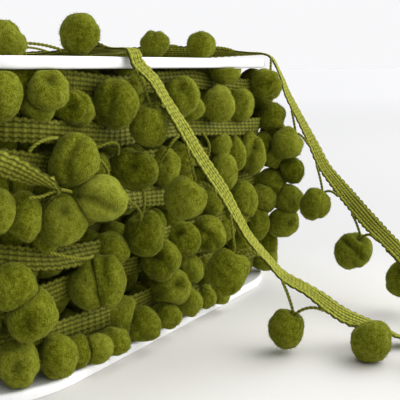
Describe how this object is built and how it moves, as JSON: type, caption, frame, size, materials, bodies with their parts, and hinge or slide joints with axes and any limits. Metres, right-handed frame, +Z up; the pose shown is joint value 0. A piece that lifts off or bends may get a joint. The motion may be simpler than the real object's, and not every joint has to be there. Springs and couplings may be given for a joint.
{
  "type": "pompom fringe trim on a reel",
  "caption": "Flat woven braid with yarn pompoms on cord loops along one edge, wound between the two rounded plates of a reel, with loose lengths drawn off over its top.",
  "frame": {"origin": "middle of the lower plate's underside, on the surface the reel stands on", "axes": "+X along the reel's long side, -Y out of the long side that the loose lengths hang over, +Z up along the reel's axis"},
  "size_m": [0.2962, 0.363, 0.1514],
  "materials": {
    "reel": "white, smooth, slightly glossy",
    "pompom_yarn": "olive green cut yarn pile",
    "braid": "olive green woven braid and twisted cord"
  },
  "bodies": {
    "root": {"reel_lower_plate": "reel", "reel_upper_plate": "reel", "winding": "pompom_yarn", "front_length": "braid", "end_length": "braid", "front_pompom_01": "pompom_yarn", "front_pompom_02": "pompom_yarn", "front_pompom_03": "pompom_yarn", "front_pompom_04": "pompom_yarn", "front_pompom_05": "pompom_yarn", "front_pompom_06": "pompom_yarn", "front_pompom_07": "pompom_yarn", "front_pompom_08": "pompom_yarn", "front_pompom_09": "pompom_yarn", "front_pompom_10": "pompom_yarn", "front_pompom_11": "pompom_yarn", "front_pompom_12": "pompom_yarn", "front_pompom_13": "pompom_yarn", "end_pompom_01": "pompom_yarn", "end_pompom_02": "pompom_yarn", "end_pompom_03": "pompom_yarn", "end_pompom_04": "pompom_yarn", "end_pompom_05": "pompom_yarn", "end_pompom_06": "pompom_yarn", "end_pompom_07": "pompom_yarn", "end_pompom_08": "pompom_yarn", "end_pompom_09": "pompom_yarn", "end_pompom_10": "pompom_yarn", "end_pompom_11": "pompom_yarn", "end_pompom_12": "pompom_yarn", "end_pompom_13": "pompom_yarn", "end_pompom_14": "pompom_yarn"}
  },
  "joints": []
}
